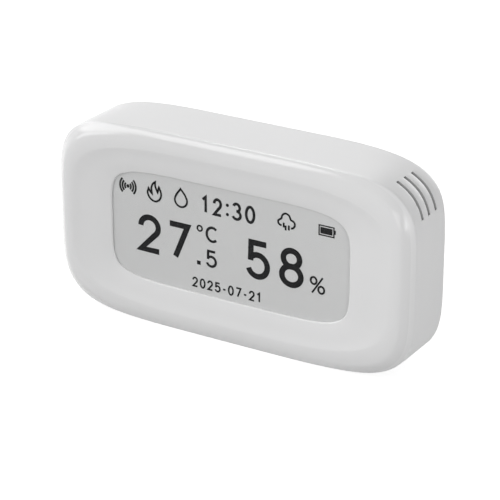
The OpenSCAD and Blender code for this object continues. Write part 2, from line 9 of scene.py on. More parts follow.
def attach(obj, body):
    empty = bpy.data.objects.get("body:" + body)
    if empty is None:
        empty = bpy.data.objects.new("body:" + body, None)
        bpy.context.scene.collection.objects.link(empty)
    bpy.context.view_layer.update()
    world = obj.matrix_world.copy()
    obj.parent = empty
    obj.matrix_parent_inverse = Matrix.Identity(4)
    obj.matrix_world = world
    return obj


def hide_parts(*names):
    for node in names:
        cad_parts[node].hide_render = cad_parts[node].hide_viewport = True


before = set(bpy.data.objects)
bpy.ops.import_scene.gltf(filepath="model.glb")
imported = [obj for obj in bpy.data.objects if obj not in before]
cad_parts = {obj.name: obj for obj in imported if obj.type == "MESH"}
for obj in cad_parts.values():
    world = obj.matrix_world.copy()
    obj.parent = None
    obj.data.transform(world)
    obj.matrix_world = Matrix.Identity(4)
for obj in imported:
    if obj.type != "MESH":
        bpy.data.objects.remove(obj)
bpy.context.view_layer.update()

# Front shell: one white moulding with a rounded lip, a shallow dish round the window
# and a drafted side wall. It comes out of the mould in one piece, with three vent
# slots round the upper right corner and posts inside for the screws.
MM = 0.001
HALF_W, HALF_H, OUTLINE_N = 49.0, 25.7, 5.0
STAND_W, WALL, DRAFT = 40.0, 2.0, 0.8
CREST_RISE, CREST_X, CREST_Z, CREST_N = 1.3, 3.7, 4.6, 4.0
LIP_ANGLE, DISH_WAVE, CREST_SOFT = math.radians(55), 0.35, 0.06
WINDOW_X, WINDOW_Z, WINDOW_N, WINDOW_EDGE = 33.7, 14.4, 5.9, 0.35
JOINT_Y, BACK_Y = 16.5, 18.7
VENT_COUNT, VENT_FIRST, VENT_PITCH, VENT_W, VENT_TURNS = 3, 5.8, 3.5, 1.0, (15, 47)
MID_Y = (BACK_Y - CREST_RISE) / 2
STAND_Z = -HALF_H * (1 - (STAND_W / 2 / HALF_W) ** OUTLINE_N) ** (1 / OUTLINE_N)

# The lip's flank is longer at the corners and longest at the short ends, where the
# crease runs further out and deeper; behind the crease the side wall evens it out.
CORNER_FLARE, END_FLARE, END_FADE = 1.1, 1.0, 5
FLARE_IN, FLARE_FULL = 0.22, 0.62
FLARE_OUT, FLARE_BACK = math.cos(math.radians(52)), math.sin(math.radians(52))
CREASE_ROUND, LIP_FROM, FLANK_FROM = 0.7, math.radians(48), math.radians(30)


def seat(x, y, z):
    """A point given in millimetres from the middle of the front edge, in the part's frame."""
    return Vector((x, y - MID_Y, z - STAND_Z)) * MM


def outline_point(turn, a, b, n):
    """The point of a squared oval at a turn in degrees."""
    c, s = math.cos(math.radians(turn)), math.sin(math.radians(turn))
    return a * math.copysign(abs(c) ** (2 / n), c), b * math.copysign(abs(s) ** (2 / n), s)


def outward(x, z, a, b, n):
    """The outline's own outward direction at a point."""
    across = math.copysign(abs(x / a) ** (n - 1) / a, x)
    up = math.copysign(abs(z / b) ** (n - 1) / b, z)
    size = math.hypot(across, up)
    return across / size, up / size


def flare(turn):
    """How much longer the lip's flank is at a turn: not at all over the long edges."""
    c = abs(math.cos(math.radians(turn)))
    u = min(1, max(0, (c - FLARE_IN) / (FLARE_FULL - FLARE_IN)))
    return CORNER_FLARE * u * u * (3 - 2 * u) + END_FLARE * c ** END_FADE


def mix(p, q, v):
    """The value between p and q at a share v."""
    return p + (q - p) * v


def loft(bm, outlines, segments=360):
    """Skins squared ovals (a, b, n, y, lowest z, flare out, flare back), each grown from the last."""
    turn = bm.verts.layers.float.new("turn")
    ring = bmesh.ops.create_circle(bm, cap_ends=False, segments=segments, radius=1)["verts"]
    edges = list(dict.fromkeys(e for v in ring for e in v.link_edges))
    for v in ring:
        v[turn] = round(math.degrees(math.atan2(v.co.y, v.co.x)) * segments / 360) * 360 / segments
    rings = []
    for a, b, n, y, low, out, back in outlines:
        if rings:
            grown = bmesh.ops.extrude_edge_only(bm, edges=edges)["geom"]
            ring = [g for g in grown if isinstance(g, bmesh.types.BMVert)]
            fresh = set(ring)
            edges = [g for g in grown if isinstance(g, bmesh.types.BMEdge) and fresh.issuperset(g.verts)]
        for v in ring:
            x, z = outline_point(v[turn], a, b, n)
            across, up = outward(x, z, a, b, n)
            longer = flare(v[turn])
            v.co = seat(x + across * out * longer, y + back * longer, max(low, z + up * out * longer))
        rings.append(edges)
    return rings


def inner_wall_ring(y):
    """The inside of the side wall at depth y."""
    grow = DRAFT * y / JOINT_Y - WALL
    return HALF_W + grow, HALF_H + grow, OUTLINE_N, y, STAND_Z + WALL, 0, 0


def wall_ring(y):
    """The outside of the side wall at depth y: full behind the crease, plain at the joint."""
    grow = DRAFT * y / JOINT_Y
    first_vent = VENT_FIRST - VENT_W / 2
    back = min(1, max(0, (first_vent - y) / (first_vent - CREASE_ROUND))) * FLARE_BACK
    longest = CORNER_FLARE + END_FLARE
    out = (JOINT_Y - y - back * longest) / (JOINT_Y - longest * FLARE_BACK) * FLARE_OUT
    return HALF_W + grow, HALF_H + grow, OUTLINE_N, y, STAND_Z, out, back


def lip_ring(lean):
    """The lip's outline where its surface leans by an angle: steepest at the crease, flat on the crest."""
    v = 1 - math.sin(lean) / math.sin(LIP_ANGLE)
    rise = (math.cos(lean) - math.cos(LIP_ANGLE)) / (1 - math.cos(LIP_ANGLE))
    end = max(0, (lean - FLANK_FROM) / (LIP_FROM - FLANK_FROM)) ** 2
    return (HALF_W - CREST_X * v, HALF_H - CREST_Z * v, mix(OUTLINE_N, CREST_N, v),
            -CREST_RISE * rise, STAND_Z, end * FLARE_OUT, end * FLARE_BACK)


def dish_depth(v):
    """Depth of the dish from crest (0) to window (1)."""
    def raw(u):
        swell = DISH_WAVE * math.sin(2 * math.pi * u) / (2 * math.pi)
        return u + swell - (1 + DISH_WAVE) * CREST_SOFT * (1 - math.exp(-u / CREST_SOFT))
    return CREST_RISE * (raw(v) / raw(1) - 1)


def dish_ring(v):
    """The dish's outline from crest (0) to window (1)."""
    return (mix(HALF_W - CREST_X, WINDOW_X, v), mix(HALF_H - CREST_Z, WINDOW_Z, v),
            mix(CREST_N, WINDOW_N, v), dish_depth(v), STAND_Z, 0, 0)


def soften(bm, edges, size, segments=2):
    """Rounds edges by a size in millimetres."""
    bmesh.ops.bevel(bm, geom=edges, offset=size * MM, offset_type="OFFSET", affect="EDGES",
                    segments=segments, profile=0.5, material=-1, clamp_overlap=False)


def new_piece(name, bm, smooth_angle=35):
    """Puts a finished mesh into the scene, smooth across edges flatter than the angle."""
    mesh = bpy.data.meshes.new(name)
    for f in bm.faces:
        f.smooth = True
    for e in bm.edges:
        e.smooth = len(e.link_faces) == 2 and e.calc_face_angle(0) < math.radians(smooth_angle)
    bm.to_mesh(mesh)
    bm.free()
    piece = bpy.data.objects.new(name, mesh)
    bpy.context.scene.collection.objects.link(piece)
    return piece


LIP_STEPS, DISH_STEPS, CREASE_STEPS, CREST_CROWD = 24, 30, 8, 1.5
WALL_FRONT_STEPS, WALL_BACK_STEP = [2.5, 4.0], 15.4
vent_edges = sorted(VENT_FIRST + VENT_PITCH * i + side * VENT_W / 2
                    for i in range(VENT_COUNT) for side in (-1, 1))
wall_depths = [CREASE_ROUND, *WALL_FRONT_STEPS, *vent_edges, WALL_BACK_STEP, JOINT_Y]
outlines = [wall_ring(y) for y in reversed(wall_depths)]
corner = (outlines[-1], wall_ring(0), lip_ring(LIP_FROM))
for t in (i / CREASE_STEPS for i in range(1, CREASE_STEPS)):
    outlines.append(tuple((1 - t) ** 2 * w + 2 * t * (1 - t) * c + t * t * q for w, c, q in zip(*corner)))
outlines += [lip_ring(LIP_FROM * (1 - i / LIP_STEPS)) for i in range(LIP_STEPS + 1)]
outlines += [dish_ring((i / DISH_STEPS) ** CREST_CROWD) for i in range(1, DISH_STEPS + 1)]
mouth_at = len(outlines) - 1
outlines.append((WINDOW_X, WINDOW_Z, WINDOW_N, WINDOW_EDGE, STAND_Z, 0, 0))
outlines += [inner_wall_ring(y) for y in [WINDOW_EDGE] + wall_depths[2:]]
outlines.append(outlines[0])

WELD = 1e-7
bm = bmesh.new()
rings = loft(bm, outlines)
bmesh.ops.remove_doubles(bm, verts=bm.verts, dist=WELD)

DEPTH_SLACK, TURN_SLACK = 0.01, 0.1
RIM_ANGLE, VENT_RIM, MOUTH_RIM = 0.6, 0.1, 0.28
turn = bm.verts.layers.float["turn"]
rim_edges = []


def in_vent(v, front, back):
    """Whether a vertex of the wall lies in the band of a vent."""
    depth = v.co.y * 1000 + MID_Y
    if not front - DEPTH_SLACK <= depth <= back + DEPTH_SLACK:
        return False
    return VENT_TURNS[0] - TURN_SLACK <= v[turn] <= VENT_TURNS[1] + TURN_SLACK


for front, back in zip(vent_edges[::2], vent_edges[1::2]):
    slot = [f for f in bm.faces if all(in_vent(v, front, back) for v in f.verts)]
    bmesh.ops.delete(bm, geom=slot, context="FACES")
    edges = [e for e in bm.edges if e.is_boundary and all(in_vent(v, front, back) for v in e.verts)]
    bmesh.ops.bridge_loops(bm, edges=edges)
    rim_edges += edges
window_mouth = [e for e in rings[mouth_at] if e.is_valid]
bmesh.ops.recalc_face_normals(bm, faces=bm.faces)
outer_rims = [e for e in rim_edges if e.is_valid and e.calc_face_angle(0) > RIM_ANGLE]
soften(bm, outer_rims, VENT_RIM)
soften(bm, window_mouth, MOUTH_RIM, segments=3)

CASE_SCREW_X, CASE_SCREW_Z, CASE_POST_R, CASE_BORE_R, CASE_BORE_DEEP = 32.0, 20.1, 2.5, 1.15, 10.0
EAR_SCREW_X, EAR_SCREW_Z, EAR_POST_R, EAR_BORE_R, EAR_BORE_DEEP = 41.5, 34.4 / 3, 2.0, 0.75, 1.4
POST_FRONT, CASE_POST_BACK, EAR_POST_BACK, POST_STEPS = WINDOW_EDGE - 0.3, JOINT_Y - 0.02, 1.55, 32


def post(bm, x, z, radius, bore, back, deep):
    """A screw post: a tube from the dish to a depth, bored from its back."""
    profile = [(radius, POST_FRONT), (radius, back), (bore, back), (bore, back - deep), (0.0, back - deep)]
    verts = [bm.verts.new(seat(x + r, y, z)) for r, y in profile]
    line = [bm.edges.new(pair) for pair in zip(verts, verts[1:])]
    bmesh.ops.spin(bm, geom=verts + line, cent=seat(x, 0, z), axis=(0, 1, 0), angle=2 * math.pi,
                   steps=POST_STEPS, use_merge=True)
    bmesh.ops.remove_doubles(bm, verts=[v for v in bm.verts if v.is_valid], dist=WELD)


posts = bmesh.new()
for side, level in itertools.product((-1, 1), repeat=2):
    post(posts, side * CASE_SCREW_X, level * CASE_SCREW_Z, CASE_POST_R, CASE_BORE_R,
         CASE_POST_BACK, CASE_BORE_DEEP)
for side, level in itertools.product((-1, 1), repeat=2):
    post(posts, side * EAR_SCREW_X, level * EAR_SCREW_Z, EAR_POST_R, EAR_BORE_R,
         EAR_POST_BACK, EAR_BORE_DEEP)
bmesh.ops.recalc_face_normals(posts, faces=posts.faces)
post_mesh = bpy.data.meshes.new("screw_posts")
posts.to_mesh(post_mesh)
posts.free()
bm.from_mesh(post_mesh)
front_shell = new_piece("shell_moulding", bm)

COLOR, FLOAT, VECTOR = "NodeSocketColor", "NodeSocketFloat", "NodeSocketVector"


def sockets(group, kind, names):
    """Gives an effect its named inputs or outputs."""
    for name, socket in names:
        group.interface.new_socket(name, in_out=kind, socket_type=socket)


def wire(tree, source, target):
    """Joins an output to an input."""
    tree.links.new(source, target)


# One effect for all mouldings: the fine spark-eroded grain of the tool,
# and a slow drift of tone and of gloss over the surface.
moulded = bpy.data.node_groups.new("moulded_grain", "ShaderNodeTree")
sockets(moulded, "INPUT", [("Tone", COLOR), ("Shade", COLOR), ("Gloss", FLOAT), ("Gloss Drift", FLOAT),
                           ("Grain Scale", FLOAT)])
sockets(moulded, "OUTPUT", [("Color", COLOR), ("Roughness", FLOAT), ("Height", FLOAT)])
gi, go = moulded.nodes.new("NodeGroupInput"), moulded.nodes.new("NodeGroupOutput")
place = moulded.nodes.new("ShaderNodeTexCoord")
drift = moulded.nodes.new("ShaderNodeTexNoise")
drift.inputs["Scale"].default_value = 45
drift.inputs["Detail"].default_value = 3
grain = moulded.nodes.new("ShaderNodeTexNoise")
grain.inputs["Detail"].default_value = 2
tint = moulded.nodes.new("ShaderNodeMix")
tint.data_type = "RGBA"
sheen = moulded.nodes.new("ShaderNodeMath")
sheen.operation = "MULTIPLY_ADD"
wire(moulded, place.outputs["Object"], drift.inputs["Vector"])
wire(moulded, place.outputs["Object"], grain.inputs["Vector"])
wire(moulded, gi.outputs["Grain Scale"], grain.inputs["Scale"])
wire(moulded, drift.outputs["Fac"], tint.inputs["Factor"])
wire(moulded, gi.outputs["Tone"], tint.inputs["A"])
wire(moulded, gi.outputs["Shade"], tint.inputs["B"])
wire(moulded, drift.outputs["Fac"], sheen.inputs[0])
wire(moulded, gi.outputs["Gloss Drift"], sheen.inputs[1])
wire(moulded, gi.outputs["Gloss"], sheen.inputs[2])
wire(moulded, tint.outputs["Result"], go.inputs["Color"])
wire(moulded, sheen.outputs["Value"], go.inputs["Roughness"])
wire(moulded, grain.outputs["Fac"], go.inputs["Height"])


def finished(name, effect, values, bump, relief_deep):
    """A material whose colour, gloss and relief come from a shared effect."""
    material = bpy.data.materials.new(name)
    material.use_nodes = True
    tree = material.node_tree
    shader = tree.nodes["Principled BSDF"]
    finish = tree.nodes.new("ShaderNodeGroup")
    finish.node_tree = effect
    for socket, value in values.items():
        finish.inputs[socket].default_value = value
    relief = tree.nodes.new("ShaderNodeBump")
    relief.inputs["Strength"].default_value = bump
    relief.inputs["Distance"].default_value = relief_deep * MM
    wire(tree, finish.outputs["Color"], shader.inputs["Base Color"])
    wire(tree, finish.outputs["Roughness"], shader.inputs["Roughness"])
    wire(tree, finish.outputs["Height"], relief.inputs["Height"])
    wire(tree, relief.outputs["Normal"], shader.inputs["Normal"])
    return material


def moulding(name, tone, shade, gloss, drift_by=0.08, grain_scale=4000, bump=0.02, ior=1.49):
    """A moulded plastic; tone and shade are its lightest and darkest colours."""
    values = {"Tone": (*tone, 1), "Shade": (*shade, 1), "Gloss": gloss, "Gloss Drift": drift_by,
              "Grain Scale": grain_scale}
    material = finished(name, moulded, values, bump, relief_deep=0.2)
    material.node_tree.nodes["Principled BSDF"].inputs["IOR"].default_value = ior
    return material


def finish_of(material):
    """The shared effect in a material."""
    return next(n for n in material.node_tree.nodes if n.type == "GROUP")


# One effect for painted shade: it darkens slots, gaps and recesses, where shade falls.
recess_shade = bpy.data.node_groups.new("painted_recess_shade", "ShaderNodeTree")
sockets(recess_shade, "INPUT", [("Unshaded", COLOR), ("Painted Shade", COLOR), ("Reach", FLOAT)])
sockets(recess_shade, "OUTPUT", [("Color", COLOR)])
gi, go = recess_shade.nodes.new("NodeGroupInput"), recess_shade.nodes.new("NodeGroupOutput")
hollow = recess_shade.nodes.new("ShaderNodeAmbientOcclusion")
hollow.only_local = True
hollow.samples = 8
amount = recess_shade.nodes.new("ShaderNodeMapRange")
amount.inputs["To Min"].default_value = 1.0
amount.inputs["To Max"].default_value = 0.0
# Multiplies the colour towards the painted shade tone where a point is closed in.
cover = recess_shade.nodes.new("ShaderNodeMix")
cover.data_type = "RGBA"
cover.blend_type = "MULTIPLY"
wire(recess_shade, gi.outputs["Reach"], hollow.inputs["Distance"])
wire(recess_shade, hollow.outputs["AO"], amount.inputs["Value"])
wire(recess_shade, amount.outputs["Result"], cover.inputs["Factor"])
wire(recess_shade, gi.outputs["Unshaded"], cover.inputs["A"])
wire(recess_shade, gi.outputs["Painted Shade"], cover.inputs["B"])
wire(recess_shade, cover.outputs["Result"], go.inputs["Color"])


def paint_recess_shade(material, reach, shade_level=0.12):
    """Paints shade on a finish, darkest in hollows within a reach in millimetres."""
    tree = material.node_tree
    base = tree.nodes["Principled BSDF"].inputs["Base Color"]
    # The shade is painted into the base colour, not cast by the lamps.
    film = tree.nodes.new("ShaderNodeGroup")
    film.node_tree = recess_shade
    film.inputs["Painted Shade"].default_value = (shade_level, shade_level, shade_level, 1)
    film.inputs["Reach"].default_value = reach * MM
    wire(tree, base.links[0].from_socket, film.inputs["Unshaded"])
    wire(tree, film.outputs["Color"], base)


# The shell's finish: polished over lip and dish, satin on the side wall.
POLISH_ENDS, SATIN_STARTS, POLISHED = 0.1, 1.2, 0.12
shell_white = moulding("shell_white", (0.86, 0.86, 0.86), (0.83, 0.83, 0.835), gloss=0.42, drift_by=0.05)
shell_tree = shell_white.node_tree
depth_in = shell_tree.nodes.new("ShaderNodeTexCoord")
split = shell_tree.nodes.new("ShaderNodeSeparateXYZ")
polish = shell_tree.nodes.new("ShaderNodeMapRange")
polish.inputs["From Min"].default_value = (POLISH_ENDS - MID_Y) * MM
polish.inputs["From Max"].default_value = (SATIN_STARTS - MID_Y) * MM
polish.inputs["To Min"].default_value = POLISHED
wire(shell_tree, depth_in.outputs["Object"], split.inputs["Vector"])
wire(shell_tree, split.outputs["Y"], polish.inputs["Value"])
wire(shell_tree, finish_of(shell_white).outputs["Roughness"], polish.inputs["To Max"])
wire(shell_tree, polish.outputs["Result"], shell_tree.nodes["Principled BSDF"].inputs["Roughness"])
# Painted shade darkens the shell's vent slots, the window's mouth and its inner corners.
paint_recess_shade(shell_white, reach=1.8)
front_shell.data.materials.append(shell_white)
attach(front_shell, "case")
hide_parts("front_shell")

# Clear window: a thin flat acrylic sheet with a low-sheen front, inset in the opening and
# laminated to the display; pale adhesive and a black foam frame seal it to the dish.
LENS_GAP, LENS_FRONT, LENS_BACK, LENS_VEIL = 0.15, 0.15, 0.39, 0.03
clear_window = moulding("clear_window", (0.05, 0.055, 0.055), (0.04, 0.045, 0.045),
                        gloss=0.3, drift_by=0.1, grain_scale=900, bump=0.01)
clear_window.node_tree.nodes["Principled BSDF"].inputs["Alpha"].default_value = LENS_VEIL
bm = bmesh.new()
pane = [(WINDOW_X - LENS_GAP, WINDOW_Z - LENS_GAP, WINDOW_N, y, STAND_Z, 0, 0)
        for y in (LENS_BACK, LENS_FRONT)]
for rim in loft(bm, pane, segments=180):
    bmesh.ops.contextual_create(bm, geom=rim)
bmesh.ops.recalc_face_normals(bm, faces=bm.faces)
window_pane = new_piece("window_pane", bm)
window_pane.data.materials.append(clear_window)
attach(window_pane, "case")
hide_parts("window_lens")


def dress(material, *nodes):
    """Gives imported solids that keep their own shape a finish."""
    for node in nodes:
        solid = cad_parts[node]
        if not solid.material_slots:
            solid.data.materials.append(material)
        for place_in in solid.material_slots:
            place_in.material = material


tape_grey = moulding("tape_grey", (0.6, 0.6, 0.6), (0.55, 0.55, 0.55),
                     gloss=0.5, drift_by=0.1, grain_scale=2500, bump=0.05)
black_foam = moulding("black_foam", (0.03, 0.03, 0.032), (0.012, 0.012, 0.013),
                      gloss=0.8, drift_by=0.15, grain_scale=2500, bump=0.4)
dress(tape_grey, "lens_tape")
dress(black_foam, "panel_gasket")

# Display film: the matt reflective sheet that carries the reading, a cool light grey
# with the fine speckle of its pigment, laminated to the glass behind it.
FILM_Y = 0.45
display_grey = moulding("display_grey", (0.785, 0.788, 0.785), (0.75, 0.755, 0.755),
                        gloss=0.62, drift_by=0.1, grain_scale=9000, bump=0.03)
dress(display_grey, "display_film")

# Reading: plain figures and signs in the film's dark pigment, a hair proud of the sheet.
# A figure is drawn with one even pen, as the display draws it; places are in millimetres
# from the middle of the reading.
READING_X, READING_Z = 1.13, 0.70
INK_THICK, INK_STEP, INK_LAYERS, INK_WELD = 0.03, 0.003, 7, 2e-7
mark_number = itertools.count(1)


def on_film(x, z):
    """A point of the reading, on the film."""
    return seat(x + READING_X, FILM_Y, z + READING_Z)


def bow(cx, cz, rx, rz, start, end, steps=None):
    """Points on an oval arc; angles in degrees, 90 at the top."""
    steps = steps or max(6, int(abs(end - start) / 6))
    angles = [math.radians(start + (end - start) * i / steps) for i in range(steps + 1)]
    return [(cx + rx * math.cos(a), cz + rz * math.sin(a)) for a in angles]


def ring_path(cx, cz, rx, rz):
    """A whole oval."""
    return bow(cx, cz, rx, rz, 0, 360, 48)[:-1]


def flowing(*runs, steps=6):
    """A path of smooth runs that meet in sharp points; each run is a list of points."""
    path = []
    for run in runs:
        run = [run[0], *run, run[-1]]
        for p0, p1, p2, p3 in zip(run, run[1:], run[2:], run[3:]):
            p0, p1, p2, p3 = Vector(p0), Vector(p1), Vector(p2), Vector(p3)
            for t in (j / steps for j in range(steps)):
                path.append(0.5 * (2 * p1 + (p2 - p0) * t + (2 * p0 - 5 * p1 + 4 * p2 - p3) * t * t
                                   + (3 * p1 - p0 - 3 * p2 + p3) * t ** 3))
    return path


def raise_ink(bm, faces):
    """Gives a flat mark its thickness; marks differ by a hair, so that crossings stay clean."""
    flat = list(dict.fromkeys(v for f in faces for v in f.verts))
    bmesh.ops.remove_doubles(bm, verts=flat, dist=INK_WELD)
    faces = [f for f in faces if f.is_valid]
    raised = bmesh.ops.extrude_face_region(bm, geom=faces, use_keep_orig=True)["geom"]
    lift_by = -(INK_THICK + INK_STEP * (next(mark_number) % INK_LAYERS)) * MM
    tops = [g for g in raised if isinstance(g, bmesh.types.BMVert)]
    bmesh.ops.translate(bm, vec=(0, lift_by, 0), verts=tops)


def ink(bm, path, width, closed=False):
    """Draws a stroke of even width along a path in X and Z, mitred at its corners."""
    points = [Vector(p) for p in path]
    count = len(points)
    pairs = []
    for i, p in enumerate(points):
        onward = points[(i + 1) % count] if closed or i < count - 1 else None
        behind = points[i - 1] if closed or i else None
        d1 = (onward - p).normalized() if onward else (p - behind).normalized()
        d0 = (p - behind).normalized() if behind else d1
        d = (d0 + d1).normalized()
        across = Vector((-d.y, d.x)) * (width / 2 / max(0.45, d.dot(d1)))
        pairs.append((p + across, p - across))
    if closed:
        pairs.append(pairs[0])
    before = len(bm.faces)
    nib = [bm.verts.new(on_film(q.x, q.y)) for q in pairs[0]]
    edge = bm.edges.new(nib)
    for left, right in pairs[1:]:
        grown = bmesh.ops.extrude_edge_only(bm, edges=[edge])["geom"]
        fresh = [g for g in grown if isinstance(g, bmesh.types.BMVert)]
        fresh.sort(key=lambda v: (v.co - nib[0].co).length)
        nib = fresh
        nib[0].co, nib[1].co = on_film(left.x, left.y), on_film(right.x, right.y)
        edge = next(e for e in nib[0].link_edges if nib[1] in e.verts)
    bm.faces.ensure_lookup_table()
    raise_ink(bm, bm.faces[before:])


def dot(bm, x, z, radius):
    """A filled round dot."""
    made = bmesh.ops.create_circle(bm, cap_ends=True, segments=24, radius=radius * MM)["verts"]
    turn_up = Matrix.Translation(on_film(x, z)) @ Matrix.Rotation(math.pi / 2, 4, "X")
    bmesh.ops.transform(bm, matrix=turn_up, verts=made)
    raise_ink(bm, list(dict.fromkeys(f for v in made for f in v.link_faces)))


def patch(bm, x0, x1, z0, z1):
    """A filled rectangle."""
    ink(bm, [(x0, (z0 + z1) / 2), (x1, (z0 + z1) / 2)], z1 - z0)


# Figures as pen paths in a unit box: open strokes, then closed ones.
FIGURES = {
    "0": ([], [ring_path(0.5, 0.5, 0.5, 0.5)]),
    "1": ([[(0, 0.8), (1, 1.0), (1, 0)]], []),
    "2": ([bow(0.5, 0.715, 0.47, 0.285, 180, -36) + [(0.03, 0.0), (1, 0)]], []),
    "3": ([bow(0.46, 0.755, 0.44, 0.245, 158, -86), bow(0.46, 0.265, 0.54, 0.265, 92, -158)], []),
    "5": ([[(0.94, 1), (0.11, 1), (0.085, 0.455)], bow(0.47, 0.325, 0.53, 0.325, 138, -160)], []),
    "7": ([[(0, 1), (1, 1), (0.3, 0)]], []),
    "8": ([], [ring_path(0.5, 0.765, 0.425, 0.235), ring_path(0.5, 0.27, 0.5, 0.27)]),
    "C": ([bow(0.52, 0.5, 0.52, 0.5, 48, 312)], []),
    "-": ([[(0, 0.42), (1, 0.42)]], []),
}


def figure(bm, sign, x0, x1, top, foot, width):
    """Draws one figure so that its ink fills a box."""
    h = width / 2
    def spot(p):
        return mix(x0 + h, x1 - h, p[0]), mix(foot + h, top - h, p[1])
    for closed, paths in enumerate(FIGURES[sign]):
        for path in paths:
            ink(bm, [spot(p) for p in path], width, bool(closed))


# Temperature and humidity, with their units.
LARGE_PEN, SMALL_PEN, DEGREE_PEN, PERCENT_RING_PEN, PERCENT_BAR_PEN = 1.5, 0.66, 0.42, 0.5, 0.45
bm = bmesh.new()
for sign, x0, x1, top, foot in [("2", -27.35, -20.4, 2.55, -7.6), ("7", -18.6, -11.95, 2.4, -7.6),
                                ("5", 4.1, 10.7, 2.45, -7.7), ("8", 13.25, 20.0, 2.6, -7.7)]:
    figure(bm, sign, x0, x1, top, foot, LARGE_PEN)
patch(bm, -10.05, -9.0, -7.55, -6.5)
figure(bm, "5", -7.4, -4.3, -3.0, -7.6, SMALL_PEN)
ink(bm, ring_path(-9.18, 2.1, 0.69, 0.69), DEGREE_PEN, True)
figure(bm, "C", -7.5, -3.75, 3.3, -0.97, SMALL_PEN)
for x, z in [(22.75, -4.4), (24.85, -6.45)]:
    ink(bm, ring_path(x, z, 0.8, 0.9), PERCENT_RING_PEN, True)
ink(bm, [(22.35, -7.6), (25.2, -3.25)], PERCENT_BAR_PEN)

# Time, and the date as plain numbers.
TIME_TOP, TIME_FOOT, TIME_PEN = 10.95, 6.3, 0.72
for sign, x0, x1 in [("1", -8.6, -7.05), ("2", -5.4, -2.7), ("3", 0.05, 2.8), ("0", 3.7, 6.6)]:
    figure(bm, sign, x0, x1, TIME_TOP, TIME_FOOT, TIME_PEN)
for z in (9.75, 7.35):
    dot(bm, -1.25, z, 0.42)
DATE_START, DATE_TOP, DATE_FOOT, DATE_PEN, DATE_GAP = -11.5, -11.05, -13.75, 0.44, 0.5
x = DATE_START
for sign in "2025-07-21":
    wide = {"1": 1.0, "-": 1.1}.get(sign, 1.68)
    figure(bm, sign, x, x + wide, DATE_TOP, DATE_FOOT, DATE_PEN)
    x += wide + DATE_GAP

# Signs: waves round a dot, flame, drop, cloud with rain, and battery.
SIGN_PEN, BATTERY_PEN = 0.5, 0.32
WAVE_X, WAVE_Z, WAVE_REACH = -30.06, 8.87, 47
dot(bm, WAVE_X, WAVE_Z, 0.45)
for side in (0, 180):
    for r in (0.9, 1.62, 2.34):
        ink(bm, bow(WAVE_X, WAVE_Z, r, r * 1.05, side - WAVE_REACH, side + WAVE_REACH), SIGN_PEN)
flame = flowing(
    [(-23.95, 9.57), (-23.43, 8.8), (-22.95, 8.31)],
    [(-22.95, 8.31), (-23.1, 9.84), (-22.65, 10.93), (-21.97, 11.51)],
    [(-21.97, 11.51), (-21.99, 10.52), (-21.69, 9.7), (-21.29, 8.91)],
    [(-21.29, 8.91), (-20.89, 10.3)],
    [(-20.89, 10.3), (-20.42, 9.31), (-20.3, 8.24), (-20.8, 7.1), (-22.05, 6.41), (-23.5, 6.98),
     (-24.23, 8.31), (-23.95, 9.57)])
drop = flowing(
    [(-14.6, 11.21), (-15.7, 9.72), (-16.29, 8.3), (-15.8, 7.05), (-14.5, 6.52), (-13.2, 7.1),
     (-12.75, 8.4), (-13.41, 9.85), (-14.6, 11.21)])
cloud = flowing(
    [(13.87, 7.74), (13.1, 8.1), (12.94, 8.86), (13.81, 9.58)],
    [(13.81, 9.58), (14.1, 10.5), (14.95, 11.01), (15.86, 10.66), (16.38, 9.64)],
    [(16.38, 9.64), (17.25, 9.26), (17.48, 8.45), (17.0, 7.7), (16.35, 7.5)])
ink(bm, flame, SIGN_PEN, True)
ink(bm, drop, SIGN_PEN, True)
ink(bm, cloud, SIGN_PEN)
for x, top, foot in [(14.44, 8.59, 7.37), (14.97, 7.97, 6.74), (15.85, 8.16, 6.92)]:
    ink(bm, [(x, top), (x, foot)], SIGN_PEN)
ink(bm, [(24.05, 7.7), (28.03, 7.7), (28.03, 10.12), (24.05, 10.12)], BATTERY_PEN, True)
patch(bm, 24.42, 27.62, 8.1, 9.7)
patch(bm, 28.15, 28.5, 8.5, 9.5)
bmesh.ops.recalc_face_normals(bm, faces=bm.faces)
reading = new_piece("display_reading", bm)
pigment_dark = moulding("pigment_dark", (0.018, 0.018, 0.019), (0.012, 0.012, 0.013),
                        gloss=0.6, drift_by=0.1, grain_scale=9000, bump=0.03)
pigment_dark.node_tree.nodes["Principled BSDF"].inputs["Specular IOR Level"].default_value = 0.1
reading.data.materials.append(pigment_dark)
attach(reading, "case")

# Display stack: thin glass behind the film, clamped to the shell by a moulded carrier
# with four ears. The carrier is cut away where the battery bay comes close.
display_glass = moulding("display_glass", (0.2, 0.23, 0.24), (0.17, 0.2, 0.21),
                         gloss=0.12, drift_by=0.08, grain_scale=800, bump=0.01, ior=1.52)
carrier_grey = moulding("carrier_grey", (0.72, 0.72, 0.71), (0.66, 0.66, 0.65),
                        gloss=0.5, drift_by=0.1, grain_scale=2500, bump=0.05)
dress(display_glass, "display_glass")
dress(carrier_grey, "display_carrier")

# Carrier and board screws: small zinc-plated steel pan heads with a cross recess. Their
# effect is shared by all metals: fine lines of rolling or turning, faint stains and an
# uneven gloss.
worked = bpy.data.node_groups.new("worked_metal", "ShaderNodeTree")
sockets(worked, "INPUT", [("Tone", COLOR), ("Stain", COLOR), ("Gloss", FLOAT), ("Line Scale", VECTOR)])
sockets(worked, "OUTPUT", [("Color", COLOR), ("Roughness", FLOAT), ("Height", FLOAT)])
gi, go = worked.nodes.new("NodeGroupInput"), worked.nodes.new("NodeGroupOutput")
place = worked.nodes.new("ShaderNodeTexCoord")
stretch = worked.nodes.new("ShaderNodeVectorMath")
stretch.operation = "MULTIPLY"
lines = worked.nodes.new("ShaderNodeTexNoise")
lines.inputs["Scale"].default_value = 1
lines.inputs["Detail"].default_value = 3
stains = worked.nodes.new("ShaderNodeTexNoise")
stains.inputs["Scale"].default_value = 350
stains.inputs["Detail"].default_value = 4
